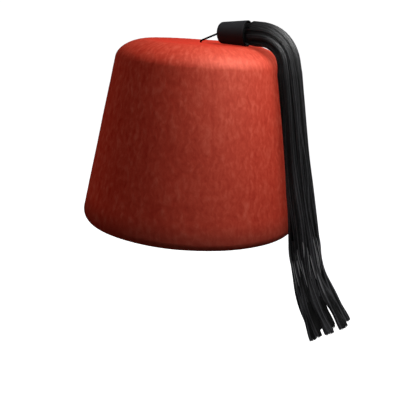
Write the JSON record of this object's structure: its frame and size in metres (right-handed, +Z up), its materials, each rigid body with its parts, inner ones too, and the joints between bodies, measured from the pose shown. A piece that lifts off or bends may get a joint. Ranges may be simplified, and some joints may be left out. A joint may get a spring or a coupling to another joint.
{
  "type": "fez hat",
  "caption": "Tapered red felt hat with a flat tip, open below for the head, and a long black tassel laid over its shoulder.",
  "frame": {"origin": "centre of the head opening, in the plane of the rim's lower edge", "axes": "+Z up the crown's axis; -Y is the side shown in the picture; the tassel falls between +X and -Y"},
  "size_m": [0.2366, 0.19, 0.26],
  "materials": {
    "felt": "blocked wool felt, brushed nap",
    "cord_thread": "twisted thread",
    "cap_thread": "thread wound tight and pressed smooth",
    "tassel_thread": "loose silky thread"
  },
  "bodies": {
    "root": {"crown": "felt", "tassel_cord": "cord_thread", "tassel_cap": "cap_thread", "tassel_skirt": "tassel_thread"}
  },
  "joints": []
}
